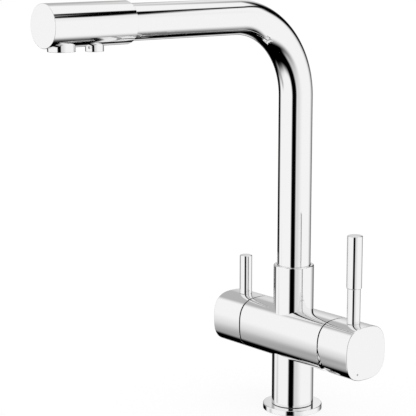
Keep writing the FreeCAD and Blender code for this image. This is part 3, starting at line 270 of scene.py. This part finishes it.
# %% [markdown]
# ## Turned pieces
# The foot, the column, the collar, the levers and the outlets are all turned on a lathe,
# so their skins are made the same way: a short outline of corners, each rounded where a
# real edge is broken, is spun round an axis. Modelling from a plain cylinder would leave
# razor edges, and polished metal shows itself mostly by the thin lights along its edges.

# %% A lathe for skins
def turned(outline, rounds=()):
    """An outline of (radius, height) points spun round the Z axis.
    rounds holds (corner number, radius) pairs."""
    bm = bmesh.new()
    corners = [bm.verts.new((r, 0.0, h)) for r, h in outline]
    for first, second in zip(corners, corners[1:]):
        bm.edges.new((first, second))
    if outline[0][0] > 0.0:
        bm.edges.new((corners[-1], corners[0]))
    for number, radius in rounds:
        bmesh.ops.bevel(bm, geom=[corners[number]], offset=radius, offset_type="OFFSET",
                        affect="VERTICES", segments=5, profile=0.5, material=-1)
    bmesh.ops.spin(bm, geom=bm.verts[:] + bm.edges[:], cent=(0, 0, 0), axis=(0, 0, 1),
                   angle=tau, steps=128, use_merge=True)
    bmesh.ops.remove_doubles(bm, verts=bm.verts, dist=1e-4)
    bmesh.ops.recalc_face_normals(bm, faces=bm.faces)
    return bm


def lay(bm, axis, place):
    """Turns an upright mesh to lie along X or Y, then moves it to its place."""
    turns = {"X": Matrix.Rotation(pi / 2, 3, "Y"), "Y": Matrix.Rotation(-pi / 2, 3, "X"),
             "Z": Matrix.Identity(3)}
    bmesh.ops.rotate(bm, verts=bm.verts, cent=(0, 0, 0), matrix=turns[axis])
    bmesh.ops.translate(bm, verts=bm.verts, vec=place)
    return bm


# %% [markdown]
# A finished skin is turned into an object here. The mesh is scaled from millimetres to
# metres, so the object itself stays at the origin. Weighted normals let the large flat
# faces decide how the narrow rounded edges shade, which keeps flats flat in a mirror.

# %% Turn a mesh into a piece of the tap
def make_piece(name, bm, body, finish, slot, *nodes):
    bmesh.ops.scale(bm, vec=(MM, MM, MM), verts=bm.verts)
    mesh = bpy.data.meshes.new(name)
    bm.to_mesh(mesh)
    bm.free()
    mesh.shade_smooth()
    mesh.set_sharp_from_angle(angle=radians(32))
    mesh.materials.append(finish)
    piece = bpy.data.objects.new(name, mesh)
    bpy.context.scene.collection.objects.link(piece)
    even = piece.modifiers.new("even shading", "WEIGHTED_NORMAL")
    even.keep_sharp = True
    even.weight = 80
    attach(piece, body)
    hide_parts(*nodes)
    print(name, len(mesh.polygons), "faces")


# %% [markdown]
# Outlets and screw holes are drilled after a piece has its shape, as in the workshop. The
# drill is a plain cylinder, and a Boolean takes it away from the piece.

# %% Drill a round hole
def drill(bm, radius, start, end):
    start, end = Vector(start), Vector(end)
    bit = bmesh.new()
    bmesh.ops.create_cone(bit, cap_ends=True, segments=48, radius1=radius, radius2=radius,
                          depth=(end - start).length)
    turn = Vector((0, 0, 1)).rotation_difference(end - start).to_matrix()
    bmesh.ops.rotate(bit, verts=bit.verts, cent=(0, 0, 0), matrix=turn)
    bmesh.ops.translate(bit, verts=bit.verts, vec=(start + end) / 2)
    shapes = []
    for part in (bm, bit):
        mesh = bpy.data.meshes.new("on the drill")
        part.to_mesh(mesh)
        shapes.append(bpy.data.objects.new("on the drill", mesh))
        bpy.context.scene.collection.objects.link(shapes[-1])
    cut = shapes[0].modifiers.new("hole", "BOOLEAN")
    cut.object = shapes[1]
    cut.solver = "EXACT"
    bm.clear()
    bm.from_mesh(shapes[0].evaluated_get(bpy.context.evaluated_depsgraph_get()).to_mesh())
    bit.free()
    for shape in shapes:
        bpy.data.objects.remove(shape)
    print("drilled", round(2 * radius, 2), "mm at", tuple(round(c, 1) for c in start))


# %% [markdown]
# ## Foot and column
# The base flange hides the hole in the worktop. It is a plain disc with a broken upper
# edge and a recess below for the gasket. A thin dark ring seals the column to it.

# %% Base flange and column
broken_edge = 0.2
flange_r = span("base_flange")[1].x
flange_t = span("base_flange")[1].z
flange_bore_r = 16.53
flange_upper_edge = 0.7
recess_inner_r = 19
recess_outer_r = 22.5
recess_depth = 1.5
flange = turned([(flange_bore_r, 0), (recess_inner_r, 0), (recess_inner_r, recess_depth),
                 (recess_outer_r, recess_depth), (recess_outer_r, 0), (flange_r, 0),
                 (flange_r, flange_t), (flange_bore_r, flange_t)],
                [(6, flange_upper_edge), (5, broken_edge)])
make_piece("base_flange_skin", flange, "tap_body", chrome, "polished_chrome", "base_flange")

column_r = span("base_column")[1].x
column_bore_r = 14.1
column_edge = 0.25
column_foot = span("column_ring")[1].z
column_top = axis_z - 10
column = turned([(column_bore_r, column_foot), (column_r, column_foot),
                 (column_r, column_top), (column_bore_r, column_top)], [(1, column_edge)])
make_piece("column_skin", column, "tap_body", chrome, "polished_chrome", "base_column")


# %% [markdown]
# ## The barrel and its knobs
# The barrel and both knobs share one section: a square of 44 mm with very round corners.
# A polished side is never quite flat, and a mirror shows it, so the section starts as a
# circle that touches the four sides and is swelled smoothly towards its four corners.

# %% The rounded square section
half = across / 2
corner_r = 16.6
corner_reach = sqrt(2) * (half - corner_r) + corner_r
print("axis to corner:", round(corner_reach, 2), "mm")


def section(bm, x):
    ring = bmesh.ops.create_circle(bm, cap_ends=True, segments=160, radius=half)["verts"]
    for v in ring:
        swell = (1 - cos(4 * atan2(v.co.y, v.co.x))) / 2
        v.co *= 1 + swell * (corner_reach / half - 1)
    lay(bm, "X", (x, 0, axis_z))
    return bm.faces[:][0]


# %% [markdown]
# A bored bar is that section drawn out along the barrel, with a round bore from its open
# end. The open rim is grown inwards to the bore's circle, then along the bore, and the
# floor closes it. The mixer knob's rim leans away below the axis, which is what lets the
# real knob tilt up to open the water, so the rim's lower points slide along the axis.

# %% Draw out a bar with a round bore
def grow(bm, edges):
    grown = bmesh.ops.extrude_edge_only(bm, edges=edges)["geom"]
    verts = [g for g in grown if isinstance(g, bmesh.types.BMVert)]
    return verts, [g for g in grown if isinstance(g, bmesh.types.BMEdge)
                   and all(v in verts for v in g.verts)]


def bored_bar(end_x, open_x, bore_d, floor_x, end_round, lean=0.0):
    bm = bmesh.new()
    end_face = section(bm, end_x)
    verts, edges = grow(bm, end_face.edges[:])
    bmesh.ops.translate(bm, verts=verts, vec=(open_x - end_x, 0, 0))
    inner, rim = grow(bm, edges)
    centre = Vector((open_x, 0, axis_z))
    for v in inner:
        v.co = centre + (v.co - centre).normalized() * bore_d / 2
    for v in verts + inner:
        v.co.x += max(0.0, axis_z - v.co.z) * tan(lean)
    floor, ring = grow(bm, rim)
    for v in floor:
        v.co.x = floor_x
    bmesh.ops.contextual_create(bm, geom=ring)
    bmesh.ops.bevel(bm, geom=end_face.edges[:], offset=end_round, offset_type="OFFSET",
                    affect="EDGES", segments=5, profile=0.5, material=-1)
    bmesh.ops.bevel(bm, geom=edges, offset=broken_edge, offset_type="OFFSET",
                    affect="EDGES", segments=2, profile=0.5, material=-1)
    bmesh.ops.recalc_face_normals(bm, faces=bm.faces)
    return bm


cartridge_bore_d = 37.9
cartridge_bore_depth = 7.9
barrel = bored_bar(barrel_low.x, barrel_high.x, cartridge_bore_d,
                   barrel_high.x - cartridge_bore_depth, broken_edge)
make_piece("barrel_skin", barrel, "tap_body", chrome, "polished_chrome", "valve_body")


# %% [markdown]
# The knobs are thin shells. The mixer knob is open towards the barrel and shows a chrome
# dome in its seam, and the filtered water knob turns against a dark plastic ring. A small
# round mark of grey plastic sits in a shallow hole in the mixer knob's end.
#
# A known fault: the mark's hole is drilled after the mixer knob's lug went in, and in some
# runs the Boolean drops that hidden lug. Drilling the mark's hole first would mend it.

# %% Both knobs
mixer_low, mixer_high = span("mixer_knob")
filter_low, filter_high = span("filter_knob")
knob_bottom = axis_z - half
knob_edge = 0.8
mixer_wall = 1.8
mixer_end = 3.6
filter_wall = 2.4
filter_end = 3.4
tilt = radians(18)
screw_r = 2.5
screw_hole_start = knob_bottom - 5
screw_hole_end = knob_bottom + 6
lug_r = 5.0
lug_low = knob_bottom + 1
lug_high = axis_z - 4
mark_gap = 0.05


def add_screw_hole(knob, screw):
    """A lug inside the knob and a hole up into it, for the screw that grips the stem."""
    screw_low, screw_high = span(screw)
    x = (screw_low.x + screw_high.x) / 2
    lug = turned([(screw_r, lug_low), (lug_r, lug_low), (lug_r, lug_high),
                  (screw_r, lug_high)])
    lay(lug, "Z", (x, 0, 0))
    drill(knob, screw_r, (x, 0, screw_hole_start), (x, 0, screw_hole_end))
    inner = bpy.data.meshes.new("screw lug")
    lug.to_mesh(inner)
    lug.free()
    knob.from_mesh(inner)


mixer_knob = bored_bar(mixer_high.x, mixer_low.x, across - 2 * mixer_wall,
                       mixer_high.x - mixer_end, knob_edge, tilt)
add_screw_hole(mixer_knob, "mixer_knob_screw")
mark_low, mark_high = span("knob_mark")
mark = (mark_low + mark_high) / 2
mark_r = (mark_high.z - mark_low.z) / 2
outside_x = mixer_high.x + 2
drill(mixer_knob, mark_r + mark_gap, (mark_low.x - mark_gap, mark.y, mark.z),
      (outside_x, mark.y, mark.z))
make_piece("mixer_knob_skin", mixer_knob, "mixer_lever", chrome, "polished_chrome",
           "mixer_knob")
filter_knob = bored_bar(filter_low.x, filter_high.x, across - 2 * filter_wall,
                        filter_low.x + filter_end, knob_edge)
add_screw_hole(filter_knob, "filter_knob_screw")
make_piece("filter_knob_skin", filter_knob, "filter_lever", chrome, "polished_chrome",
           "filter_knob")


# %% Dome behind the mixer knob
dome_low, dome_high = span("dome_cover")
dome_wall = 1.2
pivot_inset = 4.3
pivot_x = barrel_high.x - pivot_inset
dome_r = sqrt(dome_high.y ** 2 + (barrel_high.x - pivot_x) ** 2)
dome = bmesh.new()
for radius in (dome_r, dome_r - dome_wall):
    bmesh.ops.create_uvsphere(dome, u_segments=96, v_segments=64, radius=radius)
lay(dome, "X", (pivot_x, 0, axis_z))
for plane_x, keep in ((dome_low.x, 1), (dome_high.x, -1)):
    bmesh.ops.bisect_plane(dome, geom=dome.verts[:] + dome.edges[:] + dome.faces[:],
                           plane_co=(plane_x, 0, 0), plane_no=(keep, 0, 0),
                           clear_inner=True)
    rims = [e for e in dome.edges if e.is_boundary
            and all(abs(v.co.x - plane_x) < 0.01 for v in e.verts)]
    bmesh.ops.bridge_loops(dome, edges=rims)
bmesh.ops.recalc_face_normals(dome, faces=dome.faces)
make_piece("dome_skin", dome, "tap_body", chrome, "polished_chrome", "dome_cover")


# %% [markdown]
# ## Collar and spout
# The collar stands on the barrel and guides the foot of the spout. Between its mouth and
# the tube there is a fine dark gap. The tube itself is bent from one length of 28 mm pipe:
# a circle is drawn up, swung round the centre of the bend, and drawn out over the sink.

# %% Collar
collar_r = span("spout_collar")[1].x
collar_top = span("spout_collar")[1].z
collar_foot = axis_z + 10
collar_bore_r = 14.35
collar_edge = 1.2
mouth_edge = 0.15
collar = turned([(collar_bore_r, collar_foot), (collar_r, collar_foot),
                 (collar_r, collar_top), (collar_bore_r, collar_top)],
                [(2, collar_edge), (3, mouth_edge)])
rear_low, rear_high = span("spout_retaining_screw")
rear_z = (rear_low.z + rear_high.z) / 2
rear_hole_r = 2.5
inside_y = 10
outside_y = 20
drill(collar, rear_hole_r, (0, inside_y, rear_z), (0, outside_y, rear_z))
make_piece("collar_skin", collar, "tap_body", chrome, "polished_chrome", "spout_collar")

# %% Spout tube
tube_low, tube_high = span("spout_tube")
tube_r = tube_high.x
tube_wall = 1.5
run_z = tube_high.z - tube_r
bend_r = 66.8
tube = bmesh.new()
for radius in (tube_r, tube_r - tube_wall):
    bmesh.ops.create_circle(tube, segments=128, radius=radius)
foot_rims = tube.edges[:]
bmesh.ops.translate(tube, verts=tube.verts, vec=(0, 0, tube_low.z))
verts, edges = grow(tube, foot_rims)
bmesh.ops.translate(tube, verts=verts, vec=(0, 0, run_z - bend_r - tube_low.z))
swept = bmesh.ops.spin(tube, geom=edges, cent=(0, -bend_r, run_z - bend_r),
                       axis=(1, 0, 0), angle=pi / 2, steps=72)["geom_last"]
verts, edges = grow(tube, [g for g in swept if isinstance(g, bmesh.types.BMEdge)])
bmesh.ops.translate(tube, verts=verts, vec=(0, tube_low.y + bend_r, 0))
for rims in (foot_rims, edges):
    bmesh.ops.bridge_loops(tube, edges=rims)
bmesh.ops.recalc_face_normals(tube, faces=tube.faces)
make_piece("spout_tube_skin", tube, "spout", chrome, "polished_chrome", "spout_tube")


# %% [markdown]
# ## The head and its two outlets
# The head is a sleeve with a solid, flat end. Mixed water leaves through the wide outlet
# near the end, and filtered water through the narrow one behind it.

# %% Spout head
head_low, head_high = span("spout_head")
head_r = head_high.x
head_l = head_high.y - head_low.y
head_edge = 0.4
sleeve_r = 14.03
sleeve_floor = head_l - 16
head = turned([(0, 0), (head_r, 0), (head_r, head_l), (sleeve_r, head_l),
               (sleeve_r, sleeve_floor), (0, sleeve_floor)],
              [(1, head_edge), (2, broken_edge)])
lay(head, "Y", (0, head_low.y, run_z))
ring_low, ring_high = span("aerator_ring")
nozzle_low, nozzle_high = span("filter_nozzle")
ring_y = (ring_low.y + ring_high.y) / 2
nozzle_y = (nozzle_low.y + nozzle_high.y) / 2
mixed_outlet_r = 8.9
filtered_outlet_r = 5.0
below_head = ring_low.z - 5
for outlet_y, outlet_r in ((ring_y, mixed_outlet_r), (nozzle_y, filtered_outlet_r)):
    drill(head, outlet_r, (0, outlet_y, below_head), (0, outlet_y, ring_high.z))
make_piece("head_skin", head, "spout", chrome, "polished_chrome", "spout_head")

# %% Rings of the two outlets
outlet_edge = 0.3
ring_r = ring_high.x
ring_h = ring_high.z - ring_low.z
ring_bore_r = ring_r - 1.4
lip_r = ring_r - 2.1
lip_h = 0.8
ring = turned([(lip_r, 0), (ring_r, 0), (ring_r, ring_h), (ring_bore_r, ring_h),
               (ring_bore_r, lip_h), (lip_r, lip_h)], [(1, outlet_edge), (0, broken_edge)])
lay(ring, "Z", (0, ring_y, ring_low.z))
make_piece("aerator_ring_skin", ring, "spout", chrome, "polished_chrome", "aerator_ring")

nozzle_r = nozzle_high.x
nozzle_h = nozzle_high.z - nozzle_low.z
nozzle_bore_r = nozzle_r - 1.85
nozzle = turned([(nozzle_bore_r, 0), (nozzle_r, 0), (nozzle_r, nozzle_h),
                 (nozzle_bore_r, nozzle_h)], [(1, outlet_edge), (0, broken_edge)])
lay(nozzle, "Z", (0, nozzle_y, nozzle_low.z))
make_piece("filter_nozzle_skin", nozzle, "spout", chrome, "polished_chrome",
           "filter_nozzle")


# %% [markdown]
# ## Levers
# Both levers screw into the tops of their knobs. The mixer's is long, with a thicker
# sleeve as its grip, and the filtered water lever is a short plain pin.

# %% Levers
rod_low, rod_high = span("mixer_lever_rod")
grip_low, grip_high = span("lever_grip")
lever_x = (rod_low.x + rod_high.x) / 2
rod_r = (rod_high.x - rod_low.x) / 2
knob_top = axis_z + half
rod_l = grip_low.z - knob_top
thread_r = 3
thread_end = -8
lever_edge = 0.9
rod = turned([(0, thread_end), (thread_r, thread_end), (thread_r, 0), (rod_r, 0),
              (rod_r, rod_l), (0, rod_l)], [(3, broken_edge)])
lay(rod, "Z", (lever_x, 0, knob_top))
make_piece("mixer_lever_skin", rod, "mixer_lever", chrome, "polished_chrome",
           "mixer_lever_rod")

grip_r = (grip_high.x - grip_low.x) / 2
grip_l = grip_high.z - grip_low.z
grip = turned([(0, 0), (grip_r, 0), (grip_r, grip_l), (0, grip_l)],
              [(1, lever_edge), (2, lever_edge)])
lay(grip, "Z", (lever_x, 0, grip_low.z))
make_piece("lever_grip_skin", grip, "mixer_lever", chrome, "polished_chrome", "lever_grip")

pin_low, pin_high = span("filter_lever")
pin_x = (pin_low.x + pin_high.x) / 2
pin_r = (pin_high.x - pin_low.x) / 2
pin_l = pin_high.z - knob_top
pin = turned([(0, thread_end), (thread_r, thread_end), (thread_r, 0), (pin_r, 0),
              (pin_r, pin_l), (0, pin_l)], [(4, lever_edge), (3, broken_edge)])
lay(pin, "Z", (pin_x, 0, knob_top))
make_piece("filter_lever_skin", pin, "filter_lever", chrome, "polished_chrome",
           "filter_lever")

# %% [markdown]
# ## The studio
# A mirror shows the room, not itself. The room is a white background of strength 1, at
# which each colour comes out as it is written. Mirrored rays, from chrome and from every
# other glossy surface, also see soft cards of grey and black that hang in front of it and
# hide much of it, because polished metal in an all white room has no contrast.
#
# The numbers of the cards go back to a program: it fitted a larger set of cards to the
# brightness of the photograph's pixels. These are that set, cut down, coarsely rounded and
# in part reset.

# %% World: where a mirrored ray goes
world = bpy.data.worlds.new("studio")
bpy.context.scene.world = world
world.use_nodes = True
room = world.node_tree
room.nodes.clear()
sight = add(room, "ShaderNodeTexCoord").outputs["Generated"]
ray = add(room, "ShaderNodeLightPath")
behind_tap = camera_turn + 90
background = (1.0, 1.0, 1.0, 1.0)
print("background:", background[:3])


# %% [markdown]
# Each card hangs at a turn (degrees to the left of straight behind the tap, as the camera
# sees it) and a rise above the table. It has half a width and half a height in degrees,
# soft edges, a roll and a brightness.

# %% Hang the cards
def hang_card(below, turn, rise, roll, wide, tall, wide_edge, tall_edge, level):
    facing = add(room, "ShaderNodeVectorRotate",
                 {"rotation_type": "EULER_XYZ", "invert": True}, Vector=sight,
                 Rotation=(radians(-roll), radians(-rise), radians(turn + behind_tap)))
    x, y, z = add(room, "ShaderNodeSeparateXYZ", None, Vector=facing.outputs[0]).outputs
    sideways = add(room, "ShaderNodeMath", {"operation": "ARCTAN2"}, _0=y, _1=x)
    upwards = add(room, "ShaderNodeMath", {"operation": "ARCSINE"}, _0=z)
    cover = 1.0
    for angle, size, edge in ((sideways, wide, wide_edge), (upwards, tall, tall_edge)):
        away = add(room, "ShaderNodeMath", {"operation": "ABSOLUTE"}, _0=angle.outputs[0])
        inside = add(room, "ShaderNodeMapRange", {"interpolation_type": "SMOOTHSTEP"},
                     Value=away.outputs[0], From_Min=radians(size + edge),
                     From_Max=radians(size - edge))
        cover = add(room, "ShaderNodeMath", {"operation": "MULTIPLY"},
                    _0=inside.outputs["Result"], _1=cover).outputs[0]
    shown = add(room, "ShaderNodeMix", {"data_type": "RGBA"}, _0=cover, _6=below,
                _7=(level, level, level, 1.0))
    return shown.outputs[2]


cards = {
    "dim ceiling": (0, 90, 0, 50, 50, 25, 25, 0.4),
    "white ceiling panel": (-20, 70, 0, 60, 25, 10, 4, 1.0),
    "grey wall behind": (30, 15, 0, 30, 35, 3, 2, 0.5),
    "white screen on the left": (105, 10, 0, 45, 45, 10, 5, 1.0),
    "grey card behind on the right": (-30, -5, 0, 25, 20, 20, 8, 0.3),
    "dark gap behind on the left": (30, -25, 0, 20, 22, 4, 3, 0.0),
    "dark gap behind on the right": (-12, -15, 0, 28, 10, 5, 2, 0.2),
    "dark floor behind": (15, -65, 0, 45, 25, 15, 8, 0.0),
    "dark floor on the left": (110, -75, 0, 60, 25, 20, 10, 0.0),
    "grey edge of the table": (75, -30, -45, 15, 6, 7, 7, 0.4),
    "pale veil beside the camera": (-165, 5, 0, 10, 60, 25, 10, 0.7),
    "black card beside the camera": (168, -10, 0, 15, 75, 5, 5, 0.0),
    "black bar, near end": (-90, 40, -40, 10, 2.5, 3, 1.5, 0.0),
    "black bar, far end": (-65, 42, 20, 22, 3, 3, 2, 0.0),
    "black card behind on the right": (-35, 20, -20, 17, 20, 7, 6, 0.0),
}
view = background
for settings in cards.values():
    view = hang_card(view, *settings)
mirrored = add(room, "ShaderNodeMix", {"data_type": "RGBA"}, _0=ray.outputs["Is Glossy Ray"],
               _6=background, _7=view)
light = add(room, "ShaderNodeBackground", None, Color=mirrored.outputs[2], Strength=1.0)
add(room, "ShaderNodeOutputWorld", None, Surface=light.outputs[0])
print("cards:", ", ".join(cards))


# %% [markdown]
# The floor is a pale sheet, far wider than the picture. Under plain light of strength 1 it
# would come out a little grey, so what the camera sees of it is raised to white, and the
# tap's soft shadow stays on it. Mirrored rays don't meet it, so chrome sees the background
# and the cards below the table too.

# %% Floor
half_sheet = 6.0
camera_share = 0.8
white_level = 1.03
sheet = bmesh.new()
bmesh.ops.create_grid(sheet, x_segments=1, y_segments=1, size=half_sheet)
floor_mesh = bpy.data.meshes.new("pale floor")
sheet.to_mesh(floor_mesh)
sheet.free()
floor = bpy.data.objects.new("pale floor", floor_mesh)
bpy.context.scene.collection.objects.link(floor)
floor.visible_glossy = False
floor.visible_transmission = False
paper, tree, output, place = new_finish("pale paper")
fibre = add(tree, "ShaderNodeTexNoise", None, Vector=place, Scale=1 / (40 * MM), Detail=3.0)
tone = add(tree, "ShaderNodeMix", {"data_type": "RGBA"}, _0=fibre.outputs["Fac"],
           _6=colour("#F4F4F4"), _7=colour("#F8F8F8"))
matt = add(tree, "ShaderNodeBsdfDiffuse", None, Color=tone.outputs[2])
seen = add(tree, "ShaderNodeLightPath")
share = add(tree, "ShaderNodeMath", {"operation": "MULTIPLY"},
            _0=seen.outputs["Is Camera Ray"], _1=camera_share)
white = add(tree, "ShaderNodeEmission", None, Color=colour("#FFFFFF"), Strength=white_level)
both = add(tree, "ShaderNodeMixShader", None, _0=share.outputs[0], _1=matt.outputs[0],
           _2=white.outputs[0])
tree.links.new(both.outputs[0], output.inputs["Surface"])
floor_mesh.materials.append(paper)
bpy.context.scene.view_settings.view_transform = "Standard"
print("floor:", floor.dimensions.x, "m wide")
